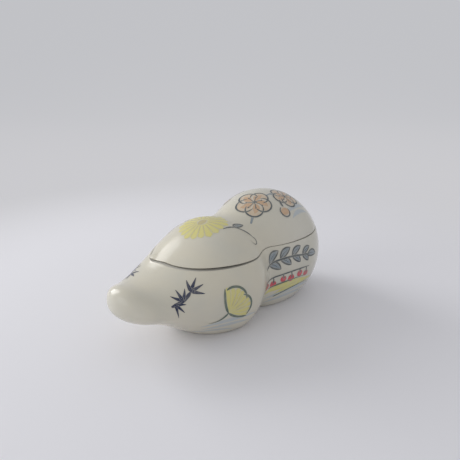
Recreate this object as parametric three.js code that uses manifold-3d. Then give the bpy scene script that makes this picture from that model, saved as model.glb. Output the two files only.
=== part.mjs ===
// A porcelain box in the form of a calabash gourd that lies on its side. The gourd is parted by
// one level seam: the lower half, with the whole of the stem, is the bowl, and the upper half is
// the lid. A raised lip inside the bowl's rim keeps the lid in place, and the lid lifts straight off.
//
// Millimetres, +Z up. X runs from the stem's tip to the butt, Y across, and the flat foot under both
// lobes stands on z = 0.
import * as THREE from "three";
import { mergeVertices } from "three/addons/utils/BufferGeometryUtils.js";
import Module from "manifold-3d";

const wasm = await Module();
wasm.setup();

// The gourd's outside, from the stem's tip to the butt.
const bodyLength = 100;
const tipLength = 7.6;
const smallLobeAt = 44.8;
const smallLobeReach = 16.4;
const largeLobeHighestAt = 72.6;
const largeLobeWidestAt = 77.1;
const lobeOverlap = 14.8;
const waistBlend = 8.3;
const waistBlendInside = 2;

// Half widths across the gourd. The stem's sizes and slopes are those where its rounded tip ends.
const stemHalfWidth = 12.5;
const stemWidthSlope = 0.33;
const smallLobeHalfWidth = 23;
const largeLobeHalfWidth = 21.8;

// Heights. The axis is the level of the widest points. Behind the stem's rounded tip the neck dips a
// little before it rises to the small lobe. The foot is cut flat, for the lobes reach below the table.
const axisHeight = 18.5;
const stemRiseSlope = -0.26;
const stemDrop = 6.4;
const stemDropSlope = 0.33;
const smallLobeTop = 39;
const largeLobeTop = 44.3;
const footCut = 6.7;

// The seam, the walls and the lip that the lid sits round. The stem's tip stays under the seam.
const seamHeight = 27.8;
const seamGap = 0.3;
const tipBelowSeam = 3.2;
const lidWall = 2.6;
const lipClearance = 0.4;
const lipWall = 1.6;
const lipHeight = 3;
const floorThickness = 3.4;
const hollowFront = 19;
const hollowRounding = 8;
const footRecess = 0.7;
const footRingWall = 1.8;

// Fineness of the mesh.
const ringsAlong = 38;
const pointsAround = 40;

const stemRise = seamHeight - tipBelowSeam - axisHeight;
const bowlWall = lidWall + lipClearance + lipWall;
const clearOfAll = 2 * bodyLength;

// A polynomial maximum that rounds the corner between two curves over the width blend.
function roundedMax(a, b, blend) {
  const share = THREE.MathUtils.clamp(0.5 + (0.5 * (a - b)) / blend, 0, 1);
  return b * (1 - share) + a * share + blend * share * (1 - share);
}

// Half an ellipse round `middle`; past its ends it falls away, so that a blend ignores it.
function arch(x, middle, reach, height) {
  const left = 1 - ((x - middle) / reach) ** 2;
  return height * (left > 0 ? Math.sqrt(left) : -0.6 * Math.sqrt(-left));
}

// A cubic from (x0, y0) with the slope `slope` to (x1, y1), where it runs level.
function ease(x, x0, y0, slope, x1, y1) {
  const t = (x - x0) / (x1 - x0);
  const start = 2 * t ** 3 - 3 * t ** 2 + 1;
  return start * y0 + (t ** 3 - 2 * t ** 2 + t) * (x1 - x0) * slope + (1 - start) * y1;
}

// Both lobes and the waist between them, `inset` inside the outer surface. The large lobe is at its
// largest at `largeAt`. Its front reaches `lobeOverlap` into the small lobe, and its back reaches the
// butt. The blend widens by `waistBlendInside` per millimetre of inset, so that the wall stays even
// round the waist.
function lobes(x, smallSize, largeSize, largeAt, inset) {
  const largeFront = largeAt - (smallLobeAt + smallLobeReach - lobeOverlap);
  const largeReach = x < largeAt ? largeFront : bodyLength - largeAt;
  const small = arch(x, smallLobeAt, smallLobeReach - inset, smallSize - inset);
  const large = arch(x, largeAt, largeReach - inset, largeSize - inset);
  return roundedMax(small, large, waistBlend + waistBlendInside * inset);
}

// From 0 at `start` to 1 at `start + length`, as the end of an ellipse rounds over.
function roundEnd(x, start, length) {
  const left = THREE.MathUtils.clamp((start + length - x) / length, 0, 1);
  return Math.sqrt(1 - left * left);
}

// The half size at x: rounded end, stem that swells into the small lobe, then the lobes. The
// outside's end is the stem's tip, and a hollow's end lies further back in the stem.
function halfSize(x, inset, stemSize, slope, smallSize, largeSize, largeAt) {
  if (x >= smallLobeAt) return lobes(x, smallSize, largeSize, largeAt, inset);
  const swell = ease(x, tipLength, stemSize, slope, smallLobeAt, smallSize) - inset;
  return inset > 0
    ? swell * roundEnd(x, hollowFront + inset, hollowRounding)
    : swell * roundEnd(x, 0, tipLength);
}

// Half width, height above the axis and depth below it at x. An inset of 0 is the outside.
function section(x, inset) {
  const rise = smallLobeTop - axisHeight;
  const largeRise = largeLobeTop - axisHeight;
  const drop = axisHeight + footCut;
  const widths = [stemHalfWidth, stemWidthSlope, smallLobeHalfWidth, largeLobeHalfWidth];
  return {
    width: halfSize(x, inset, ...widths, largeLobeWidestAt),
    above: halfSize(x, inset, stemRise, stemRiseSlope, rise, largeRise, largeLobeHighestAt),
    below: halfSize(x, inset, stemDrop, stemDropSlope, drop, drop, largeLobeHighestAt),
  };
}

// A closed solid from a geometry, with its shared vertices merged.
function solidOf(geometry) {
  const bare = geometry.index ? geometry.toNonIndexed() : geometry.clone();
  bare.deleteAttribute("normal");
  bare.deleteAttribute("uv");
  const merged = mergeVertices(bare, 1e-4);
  return new wasm.Manifold(
    new wasm.Mesh({
      numProp: 3,
      vertProperties: merged.attributes.position.array,
      triVerts: new Uint32Array(merged.index.array),
    }),
  );
}

// The gourd as rings of points along X, closed by a point at each end.
function gourdSolid(inset) {
  const start = inset > 0 ? hollowFront + inset : 0;
  const end = bodyLength - inset;
  const positions = [start, 0, axisHeight];
  for (let i = 1; i < ringsAlong; i += 1) {
    const x = start + ((end - start) * (1 - Math.cos((Math.PI * i) / ringsAlong))) / 2;
    const { width, above, below } = section(x, inset);
    for (let j = 0; j < pointsAround; j += 1) {
      const angle = (2 * Math.PI * j) / pointsAround;
      const height = Math.sin(angle) * (angle < Math.PI ? above : below);
      positions.push(x, width * Math.cos(angle), axisHeight + height);
    }
  }
  const lastRing = 1 + (ringsAlong - 2) * pointsAround;
  const endPoint = lastRing + pointsAround;
  positions.push(end, 0, axisHeight);
  const faces = [];
  for (let j = 0; j < pointsAround; j += 1) {
    const next = (j + 1) % pointsAround;
    faces.push(0, 1 + next, 1 + j);
    for (let ring = 1; ring < lastRing; ring += pointsAround) {
      const after = ring + pointsAround;
      faces.push(ring + j, ring + next, after + j, after + j, ring + next, after + next);
    }
    faces.push(lastRing + j, lastRing + next, endPoint);
  }
  const geometry = new THREE.BufferGeometry();
  geometry.setAttribute("position", new THREE.Float32BufferAttribute(positions, 3));
  geometry.setIndex(faces);
  return solidOf(geometry);
}

// Everything between two heights, as a slab far wider than the gourd.
function slab(low, high) {
  const box = new THREE.BoxGeometry(clearOfAll, clearOfAll, high - low);
  return solidOf(box.translate(bodyLength / 2, 0, (low + high) / 2));
}

// The bowl: a thick shell with its lip. A shallow recess under each lobe leaves a ring to stand on.
function makeBowl() {
  const body = gourdSolid(0).intersect(slab(0, seamHeight));
  const lip = gourdSolid(lidWall + lipClearance).intersect(
    slab(seamHeight - lipWall, seamHeight + lipHeight),
  );
  const hollow = gourdSolid(bowlWall).intersect(slab(floorThickness, clearOfAll));
  const recess = gourdSolid(footRingWall).intersect(slab(-footRecess, footRecess));
  return body.add(lip).subtract(hollow).subtract(recess);
}

function makeLid() {
  const shell = gourdSolid(0).intersect(slab(seamHeight + seamGap, clearOfAll));
  return shell.subtract(gourdSolid(lidWall));
}

// A named mesh from a finished solid.
function meshOf(name, solid, material) {
  const { numProp, vertProperties, triVerts } = solid.getMesh();
  const geometry = new THREE.BufferGeometry();
  const interleaved = new THREE.InterleavedBuffer(vertProperties, numProp);
  geometry.setAttribute("position", new THREE.InterleavedBufferAttribute(interleaved, 3, 0));
  geometry.setIndex(new THREE.BufferAttribute(triVerts, 1));
  const mesh = new THREE.Mesh(geometry.toNonIndexed(), material);
  mesh.geometry.computeVertexNormals();
  mesh.name = name;
  return mesh;
}

const glazedPorcelain = new THREE.MeshStandardMaterial({
  color: new THREE.Color(0.86, 0.84, 0.78),
  roughness: 0.12,
  metalness: 0,
});

const group = new THREE.Group();
group.name = "gourd_box";
const bodyGroup = new THREE.Group();
bodyGroup.position.x = -bodyLength / 2;
bodyGroup.add(meshOf("gourd_bowl", makeBowl(), glazedPorcelain));
bodyGroup.add(meshOf("gourd_lid", makeLid(), glazedPorcelain));
group.add(bodyGroup);

export default group;
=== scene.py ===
# A small porcelain box in the form of a gourd that lies on its side. Its upper half lifts off as a lid.
# The glaze is pale ivory, and brush painting in cobalt and soft enamel colours lies on it.
#
# Metres. X runs from the stem's tip to the butt, Y across the gourd and Z up from the foot.
import math
from collections import namedtuple

import bmesh
import bpy
from bpy.props import FloatProperty, FloatVectorProperty, IntProperty, PointerProperty
from mathutils import Euler, Matrix, Vector


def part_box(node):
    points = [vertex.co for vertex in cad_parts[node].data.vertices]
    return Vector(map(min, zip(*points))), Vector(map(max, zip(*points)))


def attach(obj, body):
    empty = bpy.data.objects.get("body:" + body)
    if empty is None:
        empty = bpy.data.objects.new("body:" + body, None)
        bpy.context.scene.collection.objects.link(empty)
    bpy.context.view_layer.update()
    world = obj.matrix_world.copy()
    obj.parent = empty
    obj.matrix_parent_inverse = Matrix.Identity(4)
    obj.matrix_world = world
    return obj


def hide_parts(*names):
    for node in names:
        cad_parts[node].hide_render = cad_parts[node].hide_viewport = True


bl_info = {
    "name": "Gourd Box",
    "version": (1, 0, 0),
    "blender": (4, 5, 0),
    "location": "View3D > Sidebar > Gourd Box",
    "description": "Models a painted porcelain box in the form of a gourd on its side",
    "category": "Add Mesh",
}

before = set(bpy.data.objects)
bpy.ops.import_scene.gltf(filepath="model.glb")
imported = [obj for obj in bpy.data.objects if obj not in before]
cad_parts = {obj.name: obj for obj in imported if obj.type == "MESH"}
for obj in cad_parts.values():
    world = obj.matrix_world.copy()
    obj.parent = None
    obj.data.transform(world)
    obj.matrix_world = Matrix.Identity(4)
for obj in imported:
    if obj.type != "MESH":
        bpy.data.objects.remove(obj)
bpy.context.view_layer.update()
bowl_low, bowl_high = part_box("gourd_bowl")
lid_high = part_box("gourd_lid")[1]

# Fineness of the modelled skins. The margins within which points touch, cut points are merged and a
# face counts as lying on a rim or the foot.
RINGS_ALONG = 80
POINTS_AROUND = 64
SKIN_LEVELS = 1
TOUCHING = 1e-6
CUT_MERGE = 0.0003
GLAZE_EDGE = 0.00002

# How far the walls lean from upright where they meet a rounded edge, and the steps of its rounding.
UPRIGHT = 0.0
RIM_LEAN = math.radians(22)
FOOT_LEAN = math.radians(45)
FLOOR_LEAN = math.radians(50)
ROLL_STEPS = 5

# Where round the gourd the kiln moved the lid's edge, and the way its front is drawn out.
WARP_ANGLE = math.radians(25)
BEAK_WAY = Vector((-1, 0.3, 0.3))
BEAK_SPREAD = 4

# The sides that the lights shine from, as shares of right, away and up for the camera, and their sizes.
KEY_SIDE = (-0.88, 0.52, 0.36)
KEY_SIZE = (0.5, 0.7)
FILL_SIDE = (-0.90, -0.45, 0.25)
FILL_SIZE = (0.6, 0.6)
LIGHT_DISTANCE = 0.8
LIGHT_TARGET = (0, 0, 0.02)

MILLIMETRE = 0.001

# How far off the gourd a motif is painted before it is laid on.
CANVAS_DISTANCE = 0.030

# The photograph's frame: its side and the lens's focal length, both in pixels, and the sensor's side.
IMAGE_SIDE = 460
FOCAL_LENGTH = 520
SENSOR_SIDE = 36.0


class GourdForm(bpy.types.PropertyGroup):
    """Sizes of the gourd, its walls and its seam. Places along it are measured from the stem's tip."""

    length: FloatProperty(
        name="Length", description="From the stem's tip to the butt",
        default=bowl_high.x - bowl_low.x, unit="LENGTH")
    tip_length: FloatProperty(
        name="Tip Length", description="Length of the stem's rounded tip",
        default=0.0076, unit="LENGTH")
    small_lobe_at: FloatProperty(
        name="Small Lobe", description="Where the small lobe is widest",
        default=0.0448, unit="LENGTH")
    small_lobe_reach: FloatProperty(
        name="Small Lobe Reach", description="From the small lobe's middle to its back",
        default=0.0164, unit="LENGTH")
    large_lobe_highest_at: FloatProperty(
        name="Large Lobe Top", description="Where the large lobe is highest",
        default=0.0726, unit="LENGTH")
    large_lobe_widest_at: FloatProperty(
        name="Large Lobe Width", description="Where the large lobe is widest",
        default=0.0771, unit="LENGTH")
    lobe_overlap: FloatProperty(
        name="Lobe Overlap", description="How far the large lobe reaches into the small one",
        default=0.0148, unit="LENGTH")
    waist_blend: FloatProperty(
        name="Waist Blend", description="Softness of the crease between the lobes",
        default=0.0083, unit="LENGTH")
    waist_passes: IntProperty(
        name="Waist Smoothing", description="Passes of smoothing of the walls inside the waist",
        default=40, min=0)
    waist_blend_inside: FloatProperty(
        name="Inner Waist Blend", description="Added softness for each unit of depth in the wall",
        default=2.0)
    stem_half_width: FloatProperty(
        name="Stem Half Width", description="Half width of the stem where its rounded tip ends",
        default=0.0125, unit="LENGTH")
    stem_width_slope: FloatProperty(
        name="Stem Width Slope", description="How fast the stem widens there", default=0.33)
    small_lobe_half_width: FloatProperty(
        name="Small Lobe Half Width", description="Half width of the small lobe",
        default=bowl_high.y, unit="LENGTH")
    large_lobe_half_width: FloatProperty(
        name="Large Lobe Half Width", description="Half width of the large lobe",
        default=0.0218, unit="LENGTH")
    axis_height: FloatProperty(
        name="Axis Height", description="Level of the widest points",
        default=0.0185, unit="LENGTH")
    stem_rise: FloatProperty(
        name="Stem Rise", description="Height of the stem over the axis where its tip ends",
        default=0.0061, unit="LENGTH")
    stem_rise_slope: FloatProperty(
        name="Stem Rise Slope", description="How the stem's top runs on behind its tip",
        default=-0.26)
    stem_drop: FloatProperty(
        name="Stem Drop", description="Depth of the stem under the axis where its tip ends",
        default=0.0064, unit="LENGTH")
    stem_drop_slope: FloatProperty(
        name="Stem Drop Slope", description="How the stem's underside runs on behind its tip",
        default=0.33)
    small_lobe_top: FloatProperty(
        name="Small Lobe Top", description="Height of the small lobe", default=0.039,
        unit="LENGTH")
    large_lobe_top: FloatProperty(
        name="Large Lobe Top", description="Height of the large lobe", default=lid_high.z,
        unit="LENGTH")
    foot_cut: FloatProperty(
        name="Foot Cut", description="What the flat foot takes off the round lobes",
        default=0.0067, unit="LENGTH")
    seam_height: FloatProperty(
        name="Seam Height", description="Height of the bowl's rim", default=0.0278,
        unit="LENGTH")
    seam_gap: FloatProperty(
        name="Seam Gap", description="Open line between the bowl's rim and the lid's",
        default=0.0003, unit="LENGTH")
    shoulder: FloatProperty(
        name="Shoulder", description="Turn from the near side to the neck's far shoulder",
        default=math.radians(122), subtype="ANGLE")
    front_dip: FloatProperty(
        name="Front Dip", description="How far the seam runs down the neck's far shoulder",
        default=0.0017, unit="LENGTH")
    front_reach: FloatProperty(
        name="Front Reach", description="How far round the shoulder the seam is drawn out",
        default=0.010, unit="LENGTH")
    beak: FloatProperty(
        name="Beak", description="How far the lid's front stands out over the neck",
        default=0.0009, unit="LENGTH")
    warp: FloatProperty(
        name="Warp", description="How far the lid's near side lifted off in the kiln",
        default=0.00040, unit="LENGTH")
    warp_at: FloatProperty(
        name="Warp Place", description="Where the lid's edge stands highest", default=0.031,
        unit="LENGTH")
    warp_reach: FloatProperty(
        name="Warp Reach", description="How far round such a place the lid is out of true",
        default=0.018, unit="LENGTH")
    snug: FloatProperty(
        name="Snug", description="How far the lid's edge sank towards the bowl in the kiln",
        default=0.00024, unit="LENGTH")
    snug_at: FloatProperty(
        name="Snug Place", description="Where the lid's edge lies closest", default=0.062,
        unit="LENGTH")
    rim_round: FloatProperty(
        name="Rim Rounding", description="Radius of the glaze where it ends at a rim",
        default=0.0003, unit="LENGTH")
    lid_wall: FloatProperty(
        name="Lid Wall", description="Thickness of the lid", default=0.0026, unit="LENGTH")
    lip_clearance: FloatProperty(
        name="Lip Clearance", description="Play between the lid and the bowl's lip",
        default=0.0004, unit="LENGTH")
    lip_wall: FloatProperty(
        name="Lip Wall", description="Thickness of the raised lip", default=0.0016,
        unit="LENGTH")
    lip_top: FloatProperty(
        name="Lip Top", description="Height of the raised lip's top", default=bowl_high.z,
        unit="LENGTH")
    lip_round: FloatProperty(
        name="Lip Rounding", description="Radius of the lip's edges", default=0.0005,
        unit="LENGTH")
    hollow_front: FloatProperty(
        name="Hollow Front", description="Where the solid stem ends and the hollow may begin",
        default=0.019, unit="LENGTH")
    hollow_rounding: FloatProperty(
        name="Hollow Rounding", description="Length of the hollow's rounded front",
        default=0.008, unit="LENGTH")
    floor_thickness: FloatProperty(
        name="Floor Thickness", description="Thickness of the bowl's floor", default=0.0034,
        unit="LENGTH")
    floor_round: FloatProperty(
        name="Floor Rounding", description="Radius between the hollow's floor and its wall",
        default=0.0015, unit="LENGTH")
    foot_round: FloatProperty(
        name="Foot Rounding", description="Radius where the lobes meet the flat foot",
        default=0.0012, unit="LENGTH")
    foot_ring: FloatProperty(
        name="Foot Ring", description="Width of the ground ring that the box stands on",
        default=0.0018, unit="LENGTH")
    foot_recess: FloatProperty(
        name="Foot Recess", description="Depth of the foot inside its ring", default=0.0007,
        unit="LENGTH")


class GlazeLook(bpy.types.PropertyGroup):
    """Colours and gloss of the porcelain."""

    ivory: FloatVectorProperty(
        name="Ivory", description="Colour of the glazed porcelain", subtype="COLOR",
        default=(0.668, 0.628, 0.522))
    cool: FloatVectorProperty(
        name="Cool Ivory", description="Colour of the glaze on the large lobe", subtype="COLOR",
        default=(0.668, 0.645, 0.580))
    pooled: FloatVectorProperty(
        name="Pooled Glaze", description="Colour where the glaze has gathered", subtype="COLOR",
        default=(0.618, 0.598, 0.522))
    bare: FloatVectorProperty(
        name="Bare Clay", description="Colour of the unglazed rims and foot ring", subtype="COLOR",
        default=(0.500, 0.480, 0.430))
    roughness: FloatProperty(
        name="Roughness", description="Roughness of the glaze", default=0.15, subtype="FACTOR")
    sheen: FloatProperty(
        name="Sheen", description="How strongly the glaze mirrors", default=0.28,
        subtype="FACTOR")


class PaintLook(bpy.types.PropertyGroup):
    """Colours of the brush painting, and how it lies on the glaze."""

    cobalt: FloatVectorProperty(
        name="Cobalt", description="Dark blue of the pine sprigs", subtype="COLOR",
        default=(0.007, 0.018, 0.070))
    ink: FloatVectorProperty(
        name="Ink", description="Blue grey of the fine outlines", subtype="COLOR",
        default=(0.040, 0.062, 0.085))
    slate: FloatVectorProperty(
        name="Slate", description="Blue grey that fills leaves", subtype="COLOR",
        default=(0.170, 0.240, 0.320))
    water: FloatVectorProperty(
        name="Water", description="Pale blue of the streams", subtype="COLOR",
        default=(0.380, 0.470, 0.570))
    yellow: FloatVectorProperty(
        name="Yellow", description="Yellow of chrysanthemum and ginkgo", subtype="COLOR",
        default=(0.700, 0.640, 0.190))
    ochre: FloatVectorProperty(
        name="Ochre", description="Lines between yellow petals", subtype="COLOR",
        default=(0.480, 0.380, 0.090))
    peach: FloatVectorProperty(
        name="Peach", description="Pale ground of the plum blossoms", subtype="COLOR",
        default=(0.660, 0.500, 0.350))
    orange: FloatVectorProperty(
        name="Orange", description="Soft orange inside the plum blossoms",
        subtype="COLOR", default=(0.620, 0.330, 0.150))
    red: FloatVectorProperty(
        name="Red", description="Red of the berries", subtype="COLOR",
        default=(0.640, 0.060, 0.100))
    green: FloatVectorProperty(
        name="Green", description="Dark green of the ginkgo's outlines", subtype="COLOR",
        default=(0.050, 0.105, 0.085))
    relief: FloatProperty(
        name="Relief", description="How far the paint stands off the glaze", default=0.00002,
        unit="LENGTH")
    layer: FloatProperty(
        name="Layer", description="How far each layer of paint lies over the one before",
        default=0.000012, precision=6, unit="LENGTH")
    stroke_step: FloatProperty(
        name="Stroke Step", description="How far each stroke lies over the one before",
        default=0.0000006, unit="LENGTH")
    body: FloatProperty(
        name="Body", description="Thickness of a stroke, most of it sunk in the glaze",
        default=0.00006, unit="LENGTH")
    seam_margin: FloatProperty(
        name="Seam Margin", description="Bare stretch along the seam", default=0.0004,
        unit="LENGTH")


class StageLook(bpy.types.PropertyGroup):
    """Camera, lights and floor."""

    camera_azimuth: FloatProperty(
        name="Camera Azimuth", description="Turn of the camera round the box",
        default=math.radians(-47.27), subtype="ANGLE")
    camera_elevation: FloatProperty(
        name="Camera Elevation", description="Height of the camera over the horizon",
        default=math.radians(19.96), subtype="ANGLE")
    camera_distance: FloatProperty(
        name="Camera Distance", description="From the camera to the point it looks at",
        default=0.23569, unit="LENGTH")
    camera_target: FloatVectorProperty(
        name="Camera Target", description="The point that the camera looks at",
        default=(0.02886, 0.02232, 0.020), subtype="TRANSLATION", unit="LENGTH")
    floor: FloatVectorProperty(
        name="Floor", description="Colour of the floor", subtype="COLOR",
        default=(0.838, 0.833, 0.873))
    # The near and far backdrop tones glow; the far one is darker, a painted fall-off of the light
    # towards the back.
    backdrop_near: FloatVectorProperty(
        name="Near Backdrop", description="Tone of the floor at some distance from the box",
        subtype="COLOR", default=(0.595, 0.593, 0.617))
    backdrop_far: FloatVectorProperty(
        name="Far Backdrop", description="Tone of the backdrop", subtype="COLOR",
        default=(0.535, 0.540, 0.565))
    floor_side: FloatProperty(
        name="Floor Side", description="Side of the flat floor", default=2.4, unit="LENGTH")
    floor_reach: FloatProperty(
        name="Floor Reach", description="How far the floor round the box is plain floor",
        default=0.09, unit="LENGTH")
    backdrop_from: FloatProperty(
        name="Backdrop From", description="Where the even tone of the backdrop is reached",
        default=0.22, unit="LENGTH")
    backdrop_end: FloatProperty(
        name="Backdrop End", description="Where the far tone of the backdrop is reached",
        default=0.90, unit="LENGTH")
    sweep_start: FloatProperty(
        name="Sweep Start", description="Where the floor starts to curve up behind the box",
        default=0.5, unit="LENGTH")
    sweep_radius: FloatProperty(
        name="Sweep Radius", description="Radius of that curve", default=0.4, unit="LENGTH")
    sky: FloatProperty(
        name="Sky", description="Strength of the even light from all round", default=0.565)
    key: FloatProperty(
        name="Key Light", description="Power of the tall light from the left", default=3.7,
        unit="POWER")
    fill: FloatProperty(
        name="Fill Light", description="Power of the low light from the left in front",
        default=1.1, unit="POWER")


def rounded_max(a, b, blend):
    """The larger of two curves, with their corner rounded over the width blend."""
    share = min(1.0, max(0.0, 0.5 + 0.5 * (a - b) / blend))
    return b * (1 - share) + a * share + blend * share * (1 - share)


def arch(x, middle, reach, height):
    """Half an ellipse round middle; past its ends it falls away, so that a blend ignores it."""
    left = 1 - ((x - middle) / reach) ** 2
    return height * (math.sqrt(left) if left > 0 else -0.6 * math.sqrt(-left))


def ease(x, x0, y0, slope, x1, y1):
    """A cubic from (x0, y0) with the given slope to (x1, y1), where it runs level."""
    t = (x - x0) / (x1 - x0)
    start = 2 * t**3 - 3 * t**2 + 1
    return start * y0 + (t**3 - 2 * t**2 + t) * (x1 - x0) * slope + (1 - start) * y1


def round_end(x, start, length):
    """From 0 at start to 1 at start + length, as the end of an ellipse rounds over."""
    left = min(1.0, max(0.0, (start + length - x) / length))
    return math.sqrt(1 - left * left)


def lobes(form, x, small_size, large_size, large_at, inset):
    """Both lobes and the waist between them, inset inside the outer surface."""
    front = large_at - (form.small_lobe_at + form.small_lobe_reach - form.lobe_overlap)
    reach = front if x < large_at else form.length - large_at
    small = arch(x, form.small_lobe_at, form.small_lobe_reach - inset, small_size - inset)
    large = arch(x, large_at, reach - inset, large_size - inset)
    return rounded_max(small, large, form.waist_blend + form.waist_blend_inside * inset)


def half_size(form, x, inset, stem, slope, small_size, large_size, large_at):
    """The half size at x: rounded end, stem that swells into the small lobe, then the lobes."""
    if x >= form.small_lobe_at:
        return lobes(form, x, small_size, large_size, large_at, inset)
    swell = ease(x, form.tip_length, stem, slope, form.small_lobe_at, small_size) - inset
    if inset > 0:
        return swell * round_end(x, form.hollow_front + inset, form.hollow_rounding)
    return swell * round_end(x, 0, form.tip_length)


def section(form, x, inset):
    """Half width, height above the axis and depth below it at x."""
    widest, highest = form.large_lobe_widest_at, form.large_lobe_highest_at
    rise = form.small_lobe_top - form.axis_height
    large_rise = form.large_lobe_top - form.axis_height
    drop = form.axis_height + form.foot_cut
    return (
        half_size(form, x, inset, form.stem_half_width, form.stem_width_slope,
                  form.small_lobe_half_width, form.large_lobe_half_width, widest),
        half_size(form, x, inset, form.stem_rise, form.stem_rise_slope, rise, large_rise, highest),
        half_size(form, x, inset, form.stem_drop, form.stem_drop_slope, drop, drop, highest),
    )


def surface_at(form, x, angle):
    """The point of the gourd's surface at x; angle runs up from the near side and over the top."""
    half, above, below = section(form, x, 0)
    lift = math.sin(angle) * (above if math.sin(angle) > 0 else below)
    return Vector((x - form.length / 2, -half * math.cos(angle), form.axis_height + lift))


def select_none():
    """Leaves nothing selected, in object mode."""
    if bpy.context.object and bpy.context.object.mode != "OBJECT":
        bpy.ops.object.mode_set(mode="OBJECT")
    bpy.ops.object.select_all(action="DESELECT")


def select_only(obj):
    """Leaves obj as the one selected object, in object mode."""
    select_none()
    obj.select_set(True)
    bpy.context.view_layer.objects.active = obj


def new_piece(name):
    """Names the primitive that was just added and sets its place in its mesh."""
    obj = bpy.context.object
    obj.name = name
    obj.data.name = name
    select_only(obj)
    bpy.ops.object.transform_apply(location=True, rotation=True, scale=True)
    return obj


def edit(obj):
    """Opens obj in edit mode with everything selected."""
    select_only(obj)
    bpy.ops.object.mode_set(mode="EDIT")
    bpy.ops.mesh.select_all(action="SELECT")


def pick(obj, kind, test):
    """In edit mode, selects the vertices, edges or faces that pass the test."""
    bpy.ops.mesh.select_mode(type={"verts": "VERT", "edges": "EDGE", "faces": "FACE"}[kind])
    bpy.ops.mesh.select_all(action="DESELECT")
    mesh = bmesh.from_edit_mesh(obj.data)
    for element in getattr(mesh, kind):
        if test(element):
            element.select_set(True)
    mesh.select_flush_mode()
    bmesh.update_edit_mesh(obj.data)


def size_ring(obj, x, axis, before, after):
    """Scales the ring at x from one section to another: across, above the axis and below it."""
    centre = (x, 0, axis)
    ring = lambda v: abs(v.co.x - x) < TOUCHING
    bpy.ops.transform.resize(value=(1, after[0] / before[0], 1), center_override=centre)
    pick(obj, "verts", lambda v: ring(v) and v.co.z > axis + TOUCHING)
    bpy.ops.transform.resize(value=(1, 1, after[1] / before[1]), center_override=centre)
    pick(obj, "verts", lambda v: ring(v) and v.co.z < axis - TOUCHING)
    bpy.ops.transform.resize(value=(1, 1, after[2] / before[2]), center_override=centre)
    pick(obj, "verts", ring)


def close_end(obj, ring_x, end_x, axis):
    """Draws the ring at ring_x out to one point on the axis at end_x."""
    pick(obj, "verts", lambda v: abs(v.co.x - ring_x) < TOUCHING)
    bpy.ops.mesh.extrude_edges_move(TRANSFORM_OT_translate={"value": (end_x - ring_x, 0, 0)})
    bpy.ops.transform.resize(value=(0, 0, 0), center_override=(end_x, 0, axis))
    bpy.ops.mesh.remove_doubles(threshold=TOUCHING)


def smooth_waist(form, skin):
    """Evens out a skin between the two lobes, where their curves end steeply inside the wall."""
    low, high = form.small_lobe_at - form.length / 2, form.large_lobe_highest_at - form.length / 2
    edit(skin)
    pick(skin, "verts", lambda v: low < v.co.x < high)
    bpy.ops.mesh.vertices_smooth(factor=0.5, repeat=form.waist_passes, xaxis=False)
    select_only(skin)


def add_skin(form, name, inset):
    """Models the gourd's closed skin, inset inside its outer surface, from the stem to the butt."""
    start = form.hollow_front + inset if inset > 0 else 0
    end = form.length - inset
    places = [start + (end - start) * (1 - math.cos(math.pi * i / RINGS_ALONG)) / 2
              for i in range(RINGS_ALONG + 1)]
    shift = form.length / 2
    axis = form.axis_height
    sizes = section(form, places[1], inset)
    select_none()
    bpy.ops.mesh.primitive_circle_add(
        vertices=POINTS_AROUND, radius=sizes[0], location=(places[1] - shift, 0, axis),
        rotation=(0, math.pi / 2, 0))
    skin = new_piece(name)
    edit(skin)
    size_ring(skin, places[1] - shift, axis, (sizes[0],) * 3, sizes)
    for before, place in zip(places[1:-2], places[2:-1]):
        bpy.ops.mesh.extrude_edges_move(
            TRANSFORM_OT_translate={"value": (place - before, 0, 0)})
        last, sizes = sizes, section(form, place, inset)
        size_ring(skin, place - shift, axis, last, sizes)
    close_end(skin, places[1] - shift, places[0] - shift, axis)
    close_end(skin, places[-2] - shift, places[-1] - shift, axis)
    bpy.ops.mesh.select_all(action="SELECT")
    bpy.ops.mesh.normals_make_consistent(inside=False)
    select_only(skin)
    bpy.ops.object.modifier_add(type="SUBSURF")
    skin.modifiers[-1].levels = skin.modifiers[-1].render_levels = SKIN_LEVELS
    bpy.ops.object.modifier_apply(modifier=skin.modifiers[-1].name)
    if inset > 0:
        smooth_waist(form, skin)
    return skin


def cut_level(obj, height, keep, fill=True):
    """Cuts obj level at height and keeps the half above or below, closed by one flat face."""
    edit(obj)
    bpy.ops.mesh.bisect(
        plane_co=(0, 0, height), plane_no=(0, 0, 1), use_fill=fill, threshold=TOUCHING / 10,
        clear_inner=keep == "above", clear_outer=keep == "below")
    pick(obj, "verts", lambda v: abs(v.co.z - height) < TOUCHING)
    bpy.ops.mesh.remove_doubles(threshold=CUT_MERGE)
    if fill:
        pick_level(obj, height)
        bpy.ops.mesh.dissolve_faces()


def pick_level(obj, height):
    """Selects the flat faces that lie at height."""
    pick(obj, "faces", lambda f: all(abs(v.co.z - height) < 10 * TOUCHING for v in f.verts))


def roll_steps(radius, lean):
    """The steps in and up that round an edge, from a wall that leans by lean to the flat."""
    angles = [lean + (math.pi / 2 - lean) * i / ROLL_STEPS for i in range(ROLL_STEPS + 1)]
    return [(radius * (math.cos(a) - math.cos(b)), radius * (math.sin(b) - math.sin(a)))
            for a, b in zip(angles, angles[1:])]


def roll_edge(radius, lean):
    """Rounds the edge round the selected flat face, from a wall that leans by lean to the flat."""
    for across, up in roll_steps(radius, lean):
        bpy.ops.mesh.inset(thickness=across, depth=up)


def flare_edge(radius):
    """Rounds the selected open outline at a hollow's top outwards, from an upright wall to the flat."""
    for across, up in roll_steps(radius, UPRIGHT):
        bpy.ops.mesh.extrude_edges_move(TRANSFORM_OT_translate={"value": (0, 0, up)})
        bpy.ops.transform.shrink_fatten(value=across, use_even_offset=True)


def rolled_height(radius, lean):
    """How far roll_edge reaches past the face that it starts from."""
    return radius * (1 - math.sin(lean))


def drop_face():
    """Deletes the selected flat face and leaves its outline open."""
    bpy.ops.mesh.delete(type="ONLY_FACE")


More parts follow.
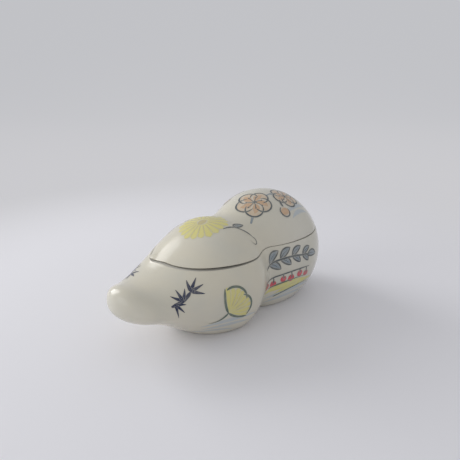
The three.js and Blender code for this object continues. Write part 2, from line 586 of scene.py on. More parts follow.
def fill_ring(obj, height):
    """Fills the flat ring between the two open outlines that lie at height."""
    pick(obj, "edges", lambda e: e.is_boundary and all(
        abs(v.co.z - height) < 10 * TOUCHING for v in e.verts))
    bpy.ops.mesh.fill()


def join_pieces(name, parts):
    """Joins parts into one object called name."""
    select_only(parts[0])
    for part in parts[1:]:
        part.select_set(True)
    bpy.ops.object.join()
    parts[0].name = name
    parts[0].data.name = name
    return parts[0]


def close_up(obj):
    """Turns all faces outwards, smooths the shading and refuses a shell that isn't closed."""
    edit(obj)
    bpy.ops.mesh.remove_doubles(threshold=TOUCHING)
    bpy.ops.mesh.select_all(action="SELECT")
    bpy.ops.mesh.normals_make_consistent(inside=False)
    bpy.ops.mesh.select_mode(type="EDGE")
    bpy.ops.mesh.select_all(action="DESELECT")
    bpy.ops.mesh.select_non_manifold()
    loose = sum(e.select for e in bmesh.from_edit_mesh(obj.data).edges)
    select_only(obj)
    if loose:
        raise RuntimeError(f"{obj.name} has {loose} open edges")
    bpy.ops.object.shade_smooth_by_angle(angle=math.radians(50))


def nudge(obj, place, shift, reach):
    """Pulls the vertex nearest to place by shift, and what lies within reach of it along with it."""
    edit(obj)
    nearest = min(obj.data.vertices, key=lambda v: (v.co - place).length).index
    pick(obj, "verts", lambda v: v.index == nearest)
    bpy.ops.transform.translate(
        value=shift, use_proportional_edit=True, proportional_size=reach,
        proportional_edit_falloff="SMOOTH")
    select_only(obj)


def seam_front(form):
    """The place on the neck's far shoulder where the seam turns back, and how far it is drawn out."""
    low, high = form.tip_length, form.small_lobe_at
    while high - low > TOUCHING:
        middle = (low + high) / 2
        if surface_at(form, middle, form.shoulder).z < form.seam_height:
            low = middle
        else:
            high = middle
    front = surface_at(form, low, form.shoulder)
    return front, surface_at(form, low - form.front_dip, form.shoulder) - front


def add_bowl_shell(form):
    """The bowl's outer wall with its rounded rim and its foot."""
    shell = add_skin(form, "gourd_bowl_shell", 0)
    cut_level(shell, rolled_height(form.foot_round, FOOT_LEAN), "above")
    roll_edge(form.foot_round, FOOT_LEAN)
    bpy.ops.mesh.inset(thickness=form.foot_ring)
    recess_step = form.foot_recess / 2
    bpy.ops.mesh.inset(thickness=recess_step, depth=-form.foot_recess + recess_step / 2)
    bpy.ops.mesh.inset(thickness=recess_step, depth=-recess_step / 2)
    cut_level(shell, form.seam_height - rolled_height(form.rim_round, RIM_LEAN), "below")
    roll_edge(form.rim_round, RIM_LEAN)
    drop_face()
    return shell


def add_lip(form):
    """The outside of the raised lip from the bowl's rim up, with a rounded edge."""
    lip = add_skin(form, "bowl_lip", form.lid_wall + form.lip_clearance)
    cut_level(lip, form.seam_height, "above", fill=False)
    cut_level(lip, form.lip_top - form.lip_round, "below")
    roll_edge(form.lip_round, UPRIGHT)
    drop_face()
    return lip


def add_hollow(form):
    """The bowl's inside, rounded into its flat floor and into the top of the lip."""
    wall = form.lid_wall + form.lip_clearance + form.lip_wall
    hollow = add_skin(form, "bowl_hollow", wall)
    cut_level(hollow, form.lip_top - form.lip_round, "below", fill=False)
    flare_edge(form.lip_round)
    cut_level(hollow, form.floor_thickness + rolled_height(form.floor_round, FLOOR_LEAN), "above")
    roll_edge(form.floor_round, FLOOR_LEAN)
    return hollow


def make_bowl(form):
    """The bowl as one closed shell."""
    parts = [add_bowl_shell(form), add_lip(form), add_hollow(form)]
    bowl = join_pieces("bowl_shell", parts)
    edit(bowl)
    fill_ring(bowl, form.seam_height)
    fill_ring(bowl, form.lip_top)
    close_up(bowl)
    return bowl


def make_lid(form):
    """The lid as one closed shell."""
    rim = form.seam_height + form.seam_gap
    shell = add_skin(form, "gourd_lid_shell", 0)
    cut_level(shell, rim + rolled_height(form.rim_round, UPRIGHT), "above")
    roll_edge(form.rim_round, UPRIGHT)
    drop_face()
    inside = add_skin(form, "lid_hollow", form.lid_wall)
    cut_level(inside, rim, "above", fill=False)
    lid = join_pieces("lid_shell", [shell, inside])
    edit(lid)
    fill_ring(lid, rim)
    close_up(lid)
    return lid


def warp_lid(lid, form):
    """Draws the lid's front out over the neck and lets its edge run a little out of true."""
    rim = form.seam_height + form.seam_gap
    front, shift = seam_front(form)
    nudge(lid, front, shift, form.front_reach)
    nudge(lid, front + shift, form.beak * BEAK_WAY, BEAK_SPREAD * form.beak)
    for x, lift in ((form.warp_at, form.warp), (form.snug_at, -form.snug)):
        place = surface_at(form, x, WARP_ANGLE)
        nudge(lid, Vector((place.x, place.y, rim)), Vector((0, 0, lift)), form.warp_reach)


def new_material(name):
    """A fresh node material and its shader."""
    material = bpy.data.materials.new(name)
    material.use_nodes = True
    return material, material.node_tree.nodes["Principled BSDF"]


def add_node(material, kind, inputs=None, **values):
    """Adds a node with its values and inputs set."""
    node = material.node_tree.nodes.new(kind)
    for key, value in values.items():
        setattr(node, key, value)
    for key, value in (inputs or {}).items():
        if isinstance(value, bpy.types.NodeSocket):
            material.node_tree.links.new(value, node.inputs[key])
        else:
            node.inputs[key].default_value = value
    return node


def opaque(colour):
    """A colour with full alpha."""
    return (*colour, 1.0)


def noise(material, place, scale, detail=2.0, roughness=0.5):
    """A noise field on the object's own coordinates."""
    return add_node(
        material, "ShaderNodeTexNoise",
        {"Vector": place, "Scale": scale, "Detail": detail, "Roughness": roughness},
    ).outputs["Fac"]


def ramp(material, value, low, high):
    """Takes value from 0 at low to 1 at high."""
    return add_node(
        material, "ShaderNodeMapRange",
        {"Value": value, "From Min": low, "From Max": high},
        interpolation_type="SMOOTHSTEP",
    ).outputs["Result"]


def mix(material, factor, a, b):
    """A mix of two colours, each a colour or a socket."""
    node = add_node(material, "ShaderNodeMix", {"Factor": factor}, data_type="RGBA")
    for socket, value in ((node.inputs[6], a), (node.inputs[7], b)):
        if isinstance(value, bpy.types.NodeSocket):
            material.node_tree.links.new(value, socket)
        else:
            socket.default_value = opaque(value)
    return node.outputs[2]


def glaze_colour(material, place, look):
    """Ivory that cools towards the butt and shifts softly where the glaze has gathered."""
    cloud = noise(material, place, 55.0, 3.0)
    along_gourd = add_node(material, "ShaderNodeSeparateXYZ", {"Vector": place}).outputs["X"]
    body = mix(material, ramp(material, along_gourd, 0.0, 0.03), look.ivory, look.cool)
    return mix(material, ramp(material, cloud, 0.35, 0.75), body, look.pooled)


def glaze_finish(material, place, shader, look):
    """The gloss, the slow waves and the fine orange peel of a fired glaze."""
    shader.inputs["Roughness"].default_value = look.roughness
    shader.inputs["Specular IOR Level"].default_value = look.sheen
    slow = noise(material, place, 90.0, 1.0)
    fine = noise(material, place, 900.0, 1.0)
    waves = add_node(
        material, "ShaderNodeBump", {"Height": slow, "Strength": 0.10, "Distance": 0.002})
    peel = add_node(
        material, "ShaderNodeBump",
        {"Height": fine, "Strength": 0.03, "Distance": 0.0002, "Normal": waves.outputs[0]})
    material.node_tree.links.new(peel.outputs[0], shader.inputs["Normal"])


def glazed_porcelain(look, name):
    """Glossy ivory glaze with pooling and a wavy surface."""
    material, shader = new_material(name)
    place = add_node(material, "ShaderNodeTexCoord").outputs["Object"]
    colour = glaze_colour(material, place, look)
    material.node_tree.links.new(colour, shader.inputs["Base Color"])
    glaze_finish(material, place, shader, look)
    return material


def bare_porcelain(look):
    """Matt fired clay, a little rough from the sponge."""
    material, shader = new_material("bare_porcelain")
    place = add_node(material, "ShaderNodeTexCoord").outputs["Object"]
    grain = noise(material, place, 1500.0, 3.0)
    tone = noise(material, place, 120.0, 2.0)
    darker = tuple(0.86 * c for c in look.bare)
    colour = mix(material, ramp(material, tone, 0.3, 0.7), look.bare, darker)
    material.node_tree.links.new(colour, shader.inputs["Base Color"])
    shader.inputs["Roughness"].default_value = 0.75
    bump = add_node(
        material, "ShaderNodeBump", {"Height": grain, "Strength": 0.35, "Distance": 0.0002})
    material.node_tree.links.new(bump.outputs[0], shader.inputs["Normal"])
    return material


def finish_shell(obj, glaze, bare, is_bare):
    """Glazes a shell and leaves bare the faces that pass the test."""
    obj.data.materials.clear()
    obj.data.materials.append(glaze)
    obj.data.materials.append(bare)
    for face in obj.data.polygons:
        face.material_index = int(is_bare(face))


def bare_on_bowl(form, face):
    """Whether a face is on the bowl's rim, its lip's outside or top, or its foot ring."""
    shift = form.length / 2
    front, back = form.small_lobe_at - shift, form.large_lobe_highest_at - shift
    x, y, z = face.center
    outward = Vector((x - min(max(x, front), back), y, 0))
    faces_out = face.normal.z > 0.3 or face.normal.dot(outward) > 0
    return z < GLAZE_EDGE or (z > form.seam_height - GLAZE_EDGE and faces_out)


def bare_on_lid(form, face):
    """Whether a face is on the lid's rim."""
    rim = form.seam_height + form.seam_gap
    return abs(face.center.z - rim) < GLAZE_EDGE and face.normal.z < -0.95


class GOURD_OT_bowl(bpy.types.Operator):
    """Model the glazed bowl with its stem, lip, hollow and foot"""

    bl_idname = "gourd.bowl"
    bl_label = "Bowl"

    def execute(self, context):
        form, look = context.scene.gourd_form, context.scene.gourd_glaze
        bowl = make_bowl(form)
        finish_shell(
            bowl, glazed_porcelain(look, "bowl_glaze"), bare_porcelain(look),
            lambda face: bare_on_bowl(form, face))
        nudge(bowl, *seam_front(form), form.front_reach)
        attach(bowl, "bowl")
        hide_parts("gourd_bowl")
        return {"FINISHED"}


class GOURD_OT_lid(bpy.types.Operator):
    """Model the glazed lid"""

    bl_idname = "gourd.lid"
    bl_label = "Lid"

    def execute(self, context):
        form, look = context.scene.gourd_form, context.scene.gourd_glaze
        lid = make_lid(form)
        finish_shell(
            lid, glazed_porcelain(look, "lid_glaze"), bpy.data.materials["bare_porcelain"],
            lambda face: bare_on_lid(form, face))
        warp_lid(lid, form)
        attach(lid, "lid")
        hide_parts("gourd_lid")
        return {"FINISHED"}


# One brush stroke: its paint, the points that it runs through and its width, all in millimetres on
# the motif's flat canvas, and how the brush presses from its start to its end.
Stroke = namedtuple("Stroke", "paint points width press")

# Each paint: how densely it covers, how much of a stroke's width fades out at either edge, how far
# its colour gathers along the edges, and which layer of the painting it is laid on in.
PAINTS = {
    "cobalt": (1.00, 0.18, 0.15, 5),
    "ink": (0.92, 0.30, 0.20, 5),
    "slate": (0.80, 0.20, 0.45, 2),
    "water": (0.60, 0.60, 0.00, 1),
    "yellow": (0.85, 0.25, 0.10, 2),
    "ochre": (0.65, 0.40, 0.10, 4),
    "peach": (0.75, 0.30, 0.10, 3),
    "orange": (0.70, 0.50, 0.10, 4),
    "red": (0.95, 0.16, 0.30, 4),
    "green": (0.90, 0.25, 0.20, 5),
}


def needle(t):
    """A brush that is set down and flicked away."""
    return min(1.0, 0.55 + 3 * t) * (1 - 0.9 * t**1.5)


def even(t):
    """A brush that keeps its pressure and is lifted at both ends."""
    return min(1.0, 0.45 + 4 * t, 0.30 + 4 * (1 - t))


def belly(t):
    """A brush that is pressed down in the middle of the stroke."""
    return max(0.04, math.sin(math.pi * t) ** 0.8)


def dab(t):
    """A short round touch of the brush."""
    return max(0.03, math.sqrt(1 - min(1.0, abs(2 * t - 1)) ** 2))


def wedge(t):
    """A brush that is pressed more and more, and ends round."""
    return max(0.05, min(t**0.9, math.sqrt(max(0.0, 5 * (1 - t)))))


def along(at, heading, reach):
    """The point that lies reach away from at; heading is in degrees."""
    angle = math.radians(heading)
    return (at[0] + reach * math.cos(angle), at[1] + reach * math.sin(angle))


def bow(start, end, rise, steps=6):
    """Points on a bowed line; rise is how far its middle stands off to the left."""
    x, y = end[0] - start[0], end[1] - start[1]
    length = math.hypot(x, y)
    points = []
    for i in range(steps + 1):
        t = i / steps
        off = 4 * rise * t * (1 - t) / length
        points.append((start[0] + x * t - y * off, start[1] + y * t + x * off))
    return points


def round_line(centre, radius, start, end, steps=8):
    """Points on a circle from one heading to another."""
    return [along(centre, start + (end - start) * i / steps, radius) for i in range(steps + 1)]


def spot(paint, at, width):
    """A round dab."""
    start, end = along(at, 180, width / 2), along(at, 0, width / 2)
    return Stroke(paint, bow(start, end, 0, 8), width, dab)


def needles(at, heading, length, count, spread):
    """A fan of pine needles."""
    fan = []
    for i in range(count):
        lean = spread * (i / (count - 1) - 0.5)
        reach = length * (1 - 0.25 * abs(lean) / spread - 0.08 * (i % 2))
        points = bow(at, along(at, heading + lean, reach), 0.06 * lean / spread * length)
        fan.append(Stroke("cobalt", points, 0.29 * length, needle))
    return fan


def pine_sprig(at, heading, size=1.0):
    """A short twig that bears fans of needles."""
    twig = bow(at, along(at, heading, 8.5 * size), -0.8 * size)
    strokes = [Stroke("cobalt", twig, 1.4 * size, even)]
    strokes += needles(twig[-1], heading + 10, 5.4 * size, 4, 116)
    strokes += needles(twig[3], heading + 80, 5.0 * size, 3, 78)
    strokes += needles(twig[1], heading - 70, 4.0 * size, 3, 74)
    return strokes


def leaf(at, heading, length, width, line=0.75):
    """A pointed leaf with its outline and its midrib."""
    tip = along(at, heading, length)
    lean = 0.10 * length
    sides = width * 0.42
    return [
        Stroke("slate", bow(at, tip, lean), width, belly),
        Stroke("ink", bow(at, tip, lean + sides), line, even),
        Stroke("ink", bow(at, tip, lean - sides), line, even),
        Stroke("ink", bow(at, along(at, heading, 0.8 * length), lean), 0.6 * line, needle),
    ]


def berry(at, width):
    """A red berry with a fine dark eye."""
    eye = along(at, 60, 0.24 * width)
    return [spot("red", at, width), spot("ink", eye, 0.20 * width)]


def nandina(at, heading, length, pairs=4):
    """A bowed stem with pairs of pointed leaves and one leaf at its end."""
    stem = bow(at, along(at, heading, length), 0.08 * length, 2 * pairs)
    strokes = []
    for i in range(pairs):
        root = stem[2 * i + 1]
        size = 1 - 0.08 * i
        turn = heading + 8 - 5 * i
        strokes += leaf(root, turn + 34, 6.8 * size, 3.2 * size)
        strokes += leaf(root, turn - 36, 6.4 * size, 3.0 * size)
    strokes += leaf(stem[-1], heading - 12, 6.4, 3.0)
    strokes.append(Stroke("ink", stem, 0.9, even))
    return strokes


def berries(at, heading, length, count, width=3.3):
    """A stalk along which berries hang in a row, each on its own fine stem."""
    stalk = bow(at, along(at, heading, length), 0.05 * length, 2 * count)
    strokes = [Stroke("ink", stalk, 0.7, even)]
    for i in range(count):
        root = stalk[2 * i + 1]
        hang = along(root, heading - 78 - 12 * (i % 2), 2.2 + 0.7 * (i % 2))
        strokes.append(Stroke("ink", bow(root, hang, 0.3), 0.55, even))
        strokes += berry(hang, width * (1 - 0.07 * (i % 3)))
    return strokes


def ginkgo(at, heading, size=1.0):
    """A fan-shaped ginkgo leaf in yellow with a green outline and stalk."""
    radius, spread, ribs = 8.4 * size, 116, 9
    strokes = []
    for i in range(ribs):
        lean = spread * (i / (ribs - 1) - 0.5)
        reach = radius * (1.02 - 0.14 * (abs(lean) < 8) - 0.04 * (i % 2))
        strokes.append(Stroke(
            "yellow", bow(at, along(at, heading + lean, reach), 0, 12), 2.7 * size, wedge))
    for lean in (-30, -12, 14, 33):
        strokes.append(Stroke(
            "ochre", bow(along(at, heading + lean, 2.6 * size),
                         along(at, heading + lean, 0.8 * radius), 0), 0.40, needle))
    for side in (-1, 1):
        edge = along(at, heading + side * 0.54 * spread, radius)
        strokes.append(Stroke("green", bow(at, edge, side * 0.8 * size), 0.9 * size, even))
        lobe = along(at, heading + side * 0.27 * spread, 0.42 * radius)
        crown = round_line(lobe, 0.60 * radius, heading + side * 78, heading - side * 36)
        strokes.append(Stroke("green", crown, 0.8 * size, even))
    stalk = along(at, heading + 172, 6.5 * size)
    strokes.append(Stroke("green", bow(at, stalk, 0.9 * size), 1.0 * size, needle))
    return strokes


def chrysanthemum(at, radius, petals=18):
    """A round flower of narrow petals round a small heart."""
    strokes = []
    for i in range(petals):
        heading = 360 * i / petals
        reach = radius * (1 - 0.03 * (i % 3))
        width = 2 * math.pi * radius / petals * 1.15
        strokes.append(Stroke(
            "yellow", bow(along(at, heading, 0.1 * radius), along(at, heading, reach), 0, 12),
            width, wedge))
    for i in range(petals):
        heading = 360 * (i + 0.5) / petals
        strokes.append(Stroke(
            "ochre", bow(along(at, heading, 0.28 * radius), along(at, heading, 0.86 * radius), 0),
            0.36, needle))
    strokes.append(spot("ochre", at, 0.40 * radius))
    return strokes


def plum_blossom(at, turn, radius):
    """Five round petals with an outline, and stamens that end in dots."""
    fills, shades, lines = [], [], []
    petal = 0.50 * radius
    for i in range(5):
        heading = turn + 72 * i
        centre = along(at, heading, radius - petal)
        start, end = along(at, heading, 0.12 * radius), along(at, heading, radius)
        fills.append(Stroke("peach", bow(start, end, 0, 8), 2.05 * petal, dab))
        shades.append(Stroke(
            "orange", bow(start, along(at, heading, 0.80 * radius), 0.1 * radius), 1.2 * petal,
            belly))
        lines.append(Stroke(
            "ink", round_line(centre, petal, heading - 118, heading + 122), 0.72, even))
    for i in range(7):
        heading = turn + 20 + 360 * i / 7
        end = along(at, heading, (0.44 + 0.05 * (i % 2)) * radius)
        lines.append(Stroke("ink", bow(at, end, 0.1), 0.34, even))
        lines.append(spot("ink", end, 0.75))
    return fills + shades + lines


def plum_bud(at, heading, radius):
    """A round bud at the end of a short twig."""
    root = along(at, heading + 180, radius)
    return [
        spot("orange", at, 2 * radius),
        Stroke("ink", round_line(at, radius, heading - 140, heading + 130), 0.60, even),
        Stroke("ink", bow(root, along(at, heading + 180, 2.6 * radius), 0.3), 0.9, even),
    ]


def plum_branch(at, heading, length):
    """A bent branch with two side twigs."""
    branch = bow(at, along(at, heading, length), 0.12 * length)
    return [
        Stroke("slate", branch, 1.4, needle),
        Stroke("slate", bow(branch[2], along(branch[2], heading + 50, 0.3 * length), 0.4), 0.9,
               needle),
        Stroke("slate", bow(branch[4], along(branch[4], heading - 46, 0.28 * length), -0.4), 0.8,
               needle),
    ]


def tendril(at, heading, length):
    """A thin stem that curls over at its end and bears one small leaf."""
    stem = bow(at, along(at, heading, length), 0.16 * length)
    curl = round_line(along(stem[-1], heading - 90, 0.14 * length), 0.14 * length, heading + 90,
                      heading - 150)
    strokes = leaf(stem[2], heading + 36, 0.50 * length, 0.20 * length)
    strokes += [Stroke("ink", stem, 0.8, even), Stroke("ink", curl, 0.6, needle)]
    return strokes


def stream(at, heading, length, waves=3):
    """Pale water in long lines, one under another."""
    strokes = []
    for i in range(waves):
        start = along(along(at, heading - 90, 2.5 * i), heading, 1.6 * (i % 2) - 0.7 * i)
        end = along(start, heading, length * (1 - 0.16 * i))
        strokes.append(Stroke("water", bow(start, end, 0.07 * length), 3.0 - 0.5 * i, belly))
    return strokes


def mist(at, heading, length):
    """A long yellow bank of mist in two strokes."""
    bank = bow(at, along(at, heading, 0.80 * length), 0.05 * length)
    second = along(along(at, heading - 90, 1.7), heading, 0.24 * length)
    lower = bow(second, along(second, heading, 0.72 * length), 0.06 * length)
    return [
        Stroke("yellow", bank, 3.2, belly),
        Stroke("yellow", lower, 2.6, belly),
        Stroke("green", [along(point, heading + 90, 1.5) for point in bank[1:]], 0.9, needle),
        Stroke("green", [along(point, heading - 90, 1.3) for point in lower[:-1]], 0.9, needle),
    ]


def canvas(form, x, angle, turn):
    """A flat frame off the gourd that faces it: along the gourd, up its side, and outwards."""
    step = MILLIMETRE
    lengthwise = surface_at(form, x + step, angle) - surface_at(form, x - step, angle)
    upwards = surface_at(form, x, angle + 0.05) - surface_at(form, x, angle - 0.05)
    out = lengthwise.cross(upwards).normalized()
    right = lengthwise.normalized()
    frame_axes = Matrix((right, out.cross(right), out)).transposed().to_4x4()
    start = surface_at(form, x, angle) + out * CANVAS_DISTANCE
    return Matrix.Translation(start) @ frame_axes @ Matrix.Rotation(turn, 4, "Z")


def brush(stroke, weight):
    """Lays one stroke down flat on the canvas. Its weight says how high it lies among the others."""
    select_none()
    bpy.ops.curve.primitive_bezier_curve_add()
    curve = bpy.context.object
    path = curve.data
    path.splines[0].bezier_points.add(len(stroke.points) - 2)
    for i, (knot, (x, y)) in enumerate(zip(path.splines[0].bezier_points, stroke.points)):
        knot.co = (x * MILLIMETRE, y * MILLIMETRE, 0)
        knot.handle_left_type = knot.handle_right_type = "AUTO"
        knot.radius = stroke.press(i / (len(stroke.points) - 1))
        knot.tilt = math.pi / 2
    path.dimensions = "3D"
    path.twist_mode = "Z_UP"
    length = sum(math.dist(a, b) for a, b in zip(stroke.points, stroke.points[1:]))
    path.resolution_u = max(2, math.ceil(2 * length / (len(stroke.points) - 1)))
    path.extrude = stroke.width * MILLIMETRE / 2
    path.materials.append(bpy.data.materials[f"{stroke.paint}_paint"])
    bpy.ops.object.convert(target="MESH")
    obj = bpy.context.object
    cuts = int(stroke.width / 1.1)
    if cuts:
        edit(obj)
        bpy.ops.mesh.subdivide(number_cuts=cuts)
        select_only(obj)
    height = obj.vertex_groups.new(name="height")
    height.add(range(len(obj.data.vertices)), weight, "REPLACE")
    return obj


def apply_modifier(obj, kind, **values):
    """Adds a modifier with its values and applies it."""
    select_only(obj)
    bpy.ops.object.modifier_add(type=kind)
    modifier = obj.modifiers[-1]
    for key, value in values.items():
        setattr(modifier, key, value)
    bpy.ops.object.modifier_apply(modifier=modifier.name)


def cut_away(obj, height, upper):
    """Cuts off the part of obj above or below height."""
    edit(obj)
    bpy.ops.mesh.bisect(
        plane_co=(0, 0, height), plane_no=(0, 0, 1), threshold=TOUCHING / 10,
        clear_outer=upper, clear_inner=not upper)
    select_only(obj)


def paint_motif(form, look, skin, shell, name, strokes, x, angle, turn=0):
    """Lays strokes over the gourd at x and angle, presses them on shell and thickens them."""
    heights = [
        look.layer * PAINTS[stroke.paint][-1] + look.stroke_step * i
        for i, stroke in enumerate(strokes)]
    top = max(heights)
    laid = [brush(stroke, height / top) for stroke, height in zip(strokes, heights)]
    motif = join_pieces(name, laid)
    motif.matrix_world = canvas(form, x * MILLIMETRE, math.radians(angle), math.radians(turn))
    apply_modifier(
        motif, "SHRINKWRAP", target=skin, wrap_method="PROJECT", wrap_mode="ABOVE_SURFACE",
        use_project_z=True, use_negative_direction=True, use_positive_direction=False)
    if max(v.co.z for v in motif.data.vertices) > -TOUCHING:
        raise RuntimeError(f"{name} reaches past the gourd")
    bpy.ops.object.transform_apply(location=True, rotation=True, scale=True)
    if name.startswith("lid"):
        cut_away(motif, form.seam_height + form.seam_gap + look.seam_margin, upper=False)
    else:
        cut_away(motif, form.seam_height - look.seam_margin, upper=True)
    apply_modifier(
        motif, "SHRINKWRAP", target=shell, wrap_method="NEAREST_SURFACEPOINT",
        wrap_mode="ABOVE_SURFACE", offset=look.relief)
    apply_modifier(motif, "DISPLACE", strength=top, mid_level=0, vertex_group="height")
    apply_modifier(motif, "SOLIDIFY", thickness=look.body, offset=-1)
    bpy.ops.object.shade_smooth()
    apply_modifier(
        motif, "DATA_TRANSFER", object=shell, use_loop_data=True,
        data_types_loops={"CUSTOM_NORMAL"}, loop_mapping="POLYINTERP_NEAREST")
    return motif


def paint_skin(form):
    """The gourd's whole skin, for the painting to lie on."""
    skin = add_skin(form, "paint_skin", 0)
    bpy.ops.object.shade_smooth()
    return skin


def paint_material(look, glaze, paint):
    """Paint under the glaze: streaked along the stroke, uneven, and faded out at its edges."""
    density, fade, pooling, _ = PAINTS[paint]
    colour = tuple(getattr(look, paint))
    material, shader = new_material(f"{paint}_paint")
    coordinates = add_node(material, "ShaderNodeTexCoord")
    place = coordinates.outputs["Object"]
    across = add_node(
        material, "ShaderNodeSeparateXYZ", {"Vector": coordinates.outputs["UV"]}).outputs["Y"]
    ground = glaze_colour(material, place, glaze)
    hairs = add_node(
        material, "ShaderNodeMapping", {"Vector": coordinates.outputs["UV"], "Scale": (1.5, 9, 1)})
    streaks = noise(material, hairs.outputs[0], 1.0, 3.0, 0.6)
    ragged = noise(material, place, 2600.0, 2.0)
    cloud = noise(material, place, 420.0, 2.0)
    centred = add_node(
        material, "ShaderNodeMath", {0: across, 1: 0.5}, operation="SUBTRACT").outputs[0]
    from_middle = add_node(
        material, "ShaderNodeMath", {0: centred}, operation="ABSOLUTE").outputs[0]
    inwards = add_node(
        material, "ShaderNodeMath", {0: from_middle, 1: -2.0, 2: 1.0},
        operation="MULTIPLY_ADD").outputs[0]
    torn = add_node(
        material, "ShaderNodeMath", {0: ragged, 1: 0.4 * fade, 2: inwards},
        operation="MULTIPLY_ADD").outputs[0]
    edge = ramp(material, torn, 0.22 * fade, 1.2 * fade)
    covered = ramp(material, streaks, 0.15, 0.55)
    thick = ramp(material, cloud, 0.25, 0.70)
    full = add_node(
        material, "ShaderNodeMapRange", {"Value": covered, "To Min": 0.72 * density,
                                         "To Max": density}).outputs[0]
    loaded = add_node(
        material, "ShaderNodeMapRange", {"Value": thick, "To Min": 0.82, "To Max": 1.0}).outputs[0]
    laid = add_node(material, "ShaderNodeMath", {0: full, 1: loaded}, operation="MULTIPLY").outputs[0]
    cover = add_node(material, "ShaderNodeMath", {0: laid, 1: edge}, operation="MULTIPLY").outputs[0]
    gathered = tuple((1 - pooling) * c for c in colour)
    pigment = mix(material, ramp(material, inwards, fade, 2.2 * fade + 0.1), gathered, colour)
    material.node_tree.links.new(
        mix(material, cover, ground, pigment), shader.inputs["Base Color"])
    glaze_finish(material, place, shader, glaze)
    return material


def paint_all(context, body, motifs):
    """Paints motifs, each a name, strokes and a place, on one body and lets them ride on it."""
    form, look, glaze = (getattr(context.scene, name) for name in (
        "gourd_form", "gourd_paint", "gourd_glaze"))
    for paint in PAINTS:
        if f"{paint}_paint" not in bpy.data.materials:
            paint_material(look, glaze, paint)
    skin = paint_skin(form)
    shell = bpy.data.objects[f"{body}_shell"]
    for name, strokes, *place in motifs:
        motif = paint_motif(form, look, skin, shell, f"{body}_{name}", strokes, *place)
        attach(motif, body)
    select_only(skin)
    bpy.ops.object.delete()


class GOURD_OT_bowl_painting(bpy.types.Operator):
    """Paint the bowl with pine sprigs, nandina, ginkgo leaves, mist and water"""

    bl_idname = "gourd.bowl_painting"
    bl_label = "Bowl Painting"

    def execute(self, context):
        spray = nandina((-15, 0.6), 1, 22)
        fruit = stream((-12, -13), 4, 24, 2) + mist((-15, -10), 6, 29)
        fruit += berries((-16, -4.2), 4, 25, 6)
        fan = stream((-13, -9), 3, 24) + ginkgo((-4, -3), 40, 1.15)
        paint_all(context, "bowl", (
            ("pine_sprig", pine_sprig((-8, -1), 14), 20, 28),
            ("ginkgo", fan, 36, -8),
            ("nandina", spray, 69, 4),
            ("berries", fruit, 69, 0),
            ("far_pine_sprig", pine_sprig((-6, -1), 20, 0.9), 17, 150, 180),
            ("far_ginkgo", ginkgo((4, -3), 130, 1.1), 38, 184, 180),
            ("far_nandina", nandina((-11, 1), -4, 20), 70, 178, 180),
            ("far_stream", stream((-12, 0), -4, 24), 68, 206, 180),
        ))
        return {"FINISHED"}


class GOURD_OT_lid_painting(bpy.types.Operator):
    """Paint the lid with a chrysanthemum, a tendril and plum blossoms"""

    bl_idname = "gourd.lid_painting"
    bl_label = "Lid Painting"

    def execute(self, context):
        blossoms = stream((2, -9), 8, 14, 2) + plum_branch((-14, -5), 14, 26)
        blossoms += plum_blossom((-6.5, 1.5), 12, 6.8) + plum_blossom((8, -1.5), 40, 5.8)
        blossoms += plum_bud((1.5, -8), 250, 2.1)
        paint_all(context, "lid", (
            ("chrysanthemum", chrysanthemum((0, 0), 9.6), 41, 93),
            ("tendril", tendril((-6, 4), -38, 12), 49, 60),
            ("plum_blossoms", blossoms, 70, 72),
            ("far_plum_blossom", plum_blossom((0, 0), 5, 5.6) + plum_bud((8, 2), 10, 2.0), 72, 128,
             180),
            ("far_tendril", tendril((-6, 0), 10, 11), 44, 138, 180),
        ))
        return {"FINISHED"}


def add_sweep(look):
    """A floor that curves up into a backdrop far behind the box."""
    azimuth = look.camera_azimuth
    away = Vector((-math.sin(azimuth), math.cos(azimuth), 0))
    half = look.floor_side / 2
    select_none()
    bpy.ops.mesh.primitive_plane_add(
        size=look.floor_side, rotation=(0, 0, azimuth),
        location=away * (look.sweep_start - half))
    sweep = new_piece("floor_sweep")
    edit(sweep)
    pick(sweep, "verts", lambda v: v.co.dot(away) > look.sweep_start - TOUCHING)
    steps = 24
    for i in range(steps):
        low, high = (math.pi / 2 * k / steps for k in (i, i + 1))
        step = look.sweep_radius * (
            away * (math.sin(high) - math.sin(low)) + Vector((0, 0, math.cos(low) - math.cos(high))))
        bpy.ops.mesh.extrude_edges_move(TRANSFORM_OT_translate={"value": step})
    bpy.ops.mesh.extrude_edges_move(TRANSFORM_OT_translate={"value": (0, 0, half)})
    bpy.ops.mesh.select_all(action="SELECT")
    bpy.ops.mesh.normals_make_consistent(inside=False)
    select_only(sweep)
    bpy.ops.object.shade_smooth()
    return sweep


def sweep_material(look):
    """Pale matt floor that keeps the box's shadow and runs out into an even glowing tone; that glow is
    painted darker further off, as a fall-off of the light.
    """
    material, shader = new_material("floor_sweep")
    shader.inputs["Base Color"].default_value = opaque(look.floor)
    shader.inputs["Roughness"].default_value = 0.9
    place = add_node(material, "ShaderNodeTexCoord").outputs["Object"]
    reach = add_node(
        material, "ShaderNodeVectorMath", {0: place}, operation="LENGTH").outputs["Value"]
    # Away from the box the floor and backdrop glow, from the near tone to a darker far tone: a painted
    # fall-off of the light.
    distance = ramp(material, reach, look.backdrop_from, look.backdrop_end)
    tone = mix(material, distance, look.backdrop_near, look.backdrop_far)
    glow = add_node(material, "ShaderNodeEmission", {"Color": tone})
    far = ramp(material, reach, look.floor_reach, look.backdrop_from)
    both = add_node(
        material, "ShaderNodeMixShader", {"Fac": far, 1: shader.outputs[0], 2: glow.outputs[0]})
    output = material.node_tree.nodes["Material Output"]
    material.node_tree.links.new(both.outputs[0], output.inputs["Surface"])
    return material


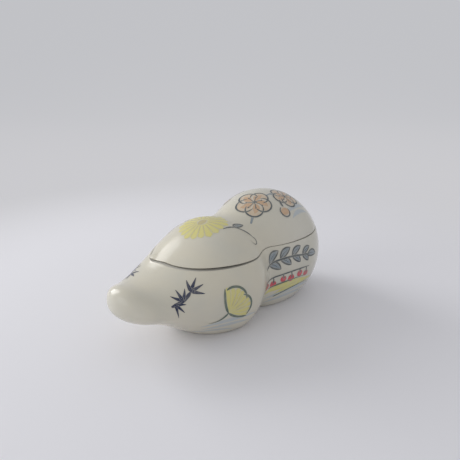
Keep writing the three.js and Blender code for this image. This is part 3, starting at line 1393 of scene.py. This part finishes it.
def add_softbox(look, name, side, size, power):
    """A large soft light to one side of the box. Its edge is dimmer than its middle."""
    azimuth = look.camera_azimuth
    right = Vector((math.cos(azimuth), math.sin(azimuth), 0))
    away = Vector((-math.sin(azimuth), math.cos(azimuth), 0))
    towards = (side[0] * right + side[1] * away + side[2] * Vector((0, 0, 1))).normalized()
    for i, share in enumerate((0.85, 0.15)):
        data = bpy.data.lights.new(f"{name}_{i}", "AREA")
        data.shape = "ELLIPSE"
        data.size, data.size_y = (length * (1 - 0.3 * i) for length in size)
        data.energy = power * share
        light = bpy.data.objects.new(data.name, data)
        bpy.context.scene.collection.objects.link(light)
        light.location = Vector(LIGHT_TARGET) + towards * (LIGHT_DISTANCE + i * 10 * TOUCHING)
        light.rotation_euler = towards.to_track_quat("Z", "Y").to_euler()


def add_camera(look):
    """The camera at the photograph's place."""
    data = bpy.data.cameras.new("camera")
    data.sensor_width = SENSOR_SIDE
    data.lens = SENSOR_SIDE * FOCAL_LENGTH / IMAGE_SIDE
    data.clip_start, data.clip_end = 0.01, 20
    camera = bpy.data.objects.new("camera", data)
    bpy.context.scene.collection.objects.link(camera)
    azimuth, elevation = look.camera_azimuth, look.camera_elevation
    back = Vector((math.sin(azimuth) * math.cos(elevation),
                   -math.cos(azimuth) * math.cos(elevation), math.sin(elevation)))
    camera.location = Vector(look.camera_target) + back * look.camera_distance
    camera.rotation_euler = Euler((math.pi / 2 - elevation, 0, azimuth))
    bpy.context.scene.camera = camera


def add_world(strength):
    """Even pale light from all round."""
    world = bpy.data.worlds.new("world")
    world.use_nodes = True
    sky = world.node_tree.nodes["Background"]
    sky.inputs["Color"].default_value = (0.985, 0.99, 1.0, 1.0)
    sky.inputs["Strength"].default_value = strength
    bpy.context.scene.world = world


class GOURD_OT_stage(bpy.types.Operator):
    """Set up the floor, the lights and the camera"""

    bl_idname = "gourd.stage"
    bl_label = "Stage"

    def execute(self, context):
        look = context.scene.gourd_stage
        sweep = add_sweep(look)
        sweep.data.materials.append(sweep_material(look))
        add_camera(look)
        add_world(look.sky)
        add_softbox(look, "key", KEY_SIDE, KEY_SIZE, look.key)
        add_softbox(look, "fill", FILL_SIDE, FILL_SIZE, look.fill)
        context.scene.view_settings.view_transform = "Standard"
        return {"FINISHED"}


class GOURD_PT_panel(bpy.types.Panel):
    """Lists the steps that make the box"""

    bl_idname = "GOURD_PT_panel"
    bl_label = "Gourd Box"
    bl_space_type = "VIEW_3D"
    bl_region_type = "UI"
    bl_category = "Gourd Box"

    def draw(self, context):
        for step in OPERATORS:
            self.layout.operator(step.bl_idname)
        for name in SETTINGS:
            box = self.layout.box()
            group = getattr(context.scene, name)
            for key in group.__annotations__:
                box.prop(group, key)


OPERATORS = (
    GOURD_OT_bowl, GOURD_OT_lid, GOURD_OT_bowl_painting, GOURD_OT_lid_painting, GOURD_OT_stage)
SETTINGS = {
    "gourd_form": GourdForm, "gourd_glaze": GlazeLook, "gourd_paint": PaintLook,
    "gourd_stage": StageLook}


def register():
    for group in SETTINGS.values():
        bpy.utils.register_class(group)
    for name, group in SETTINGS.items():
        setattr(bpy.types.Scene, name, PointerProperty(type=group))
    for step in (*OPERATORS, GOURD_PT_panel):
        bpy.utils.register_class(step)


def unregister():
    for step in (GOURD_PT_panel, *reversed(OPERATORS)):
        bpy.utils.unregister_class(step)
    for name, group in SETTINGS.items():
        delattr(bpy.types.Scene, name)
        bpy.utils.unregister_class(group)


def main():
    """Makes the box and its stage."""
    register()
    bpy.ops.gourd.bowl()
    bpy.ops.gourd.lid()
    bpy.ops.gourd.bowl_painting()
    bpy.ops.gourd.lid_painting()
    bpy.ops.gourd.stage()


if __name__ == "__main__":
    main()
